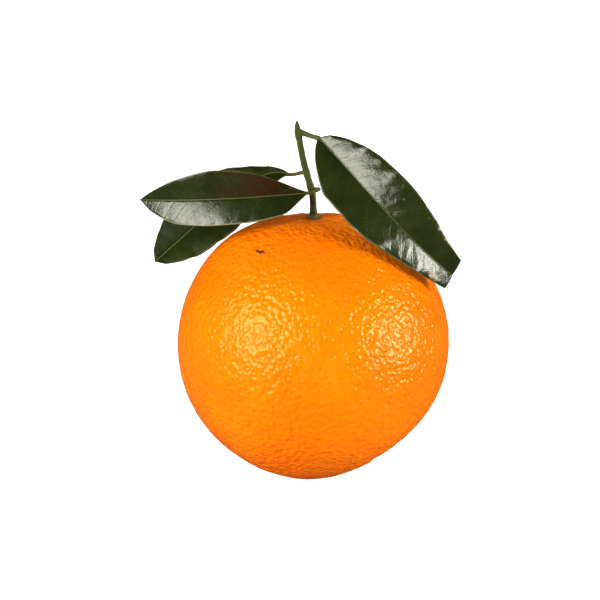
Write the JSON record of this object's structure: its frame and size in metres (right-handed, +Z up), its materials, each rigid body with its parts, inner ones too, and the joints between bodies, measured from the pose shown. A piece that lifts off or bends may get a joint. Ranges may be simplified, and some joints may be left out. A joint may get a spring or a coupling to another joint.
{
  "type": "clementine",
  "caption": "Fresh round clementine with pebbled orange rind, standing on a small flat spot, with a snipped green twig and glossy folded leaves drooping to both sides.",
  "frame": {"origin": "centre of the small flat spot under the fruit, on the surface it rests on", "axes": "+Z up through the fruit and its stem, -Y toward the front, where the folded leaves show their upper faces, +X toward the longest leaf"},
  "size_m": [0.0775, 0.0662, 0.0872],
  "materials": {
    "rind": "waxy pebbled orange rind with pitted oil glands",
    "calyx": "dry grey-green",
    "twig": "matte green bark, browner toward the fruit",
    "leaf_right": "glossy dark green above, paler and matte beneath",
    "leaf_front_left": "glossy dark green above, paler and matte beneath",
    "leaf_back_left": "glossy dark green above, paler and matte beneath"
  },
  "bodies": {
    "root": {"fruit": "rind", "calyx": "calyx", "twig": "twig", "leaf_right": "leaf_right", "leaf_front_left": "leaf_front_left", "leaf_back_left": "leaf_back_left"}
  },
  "joints": []
}
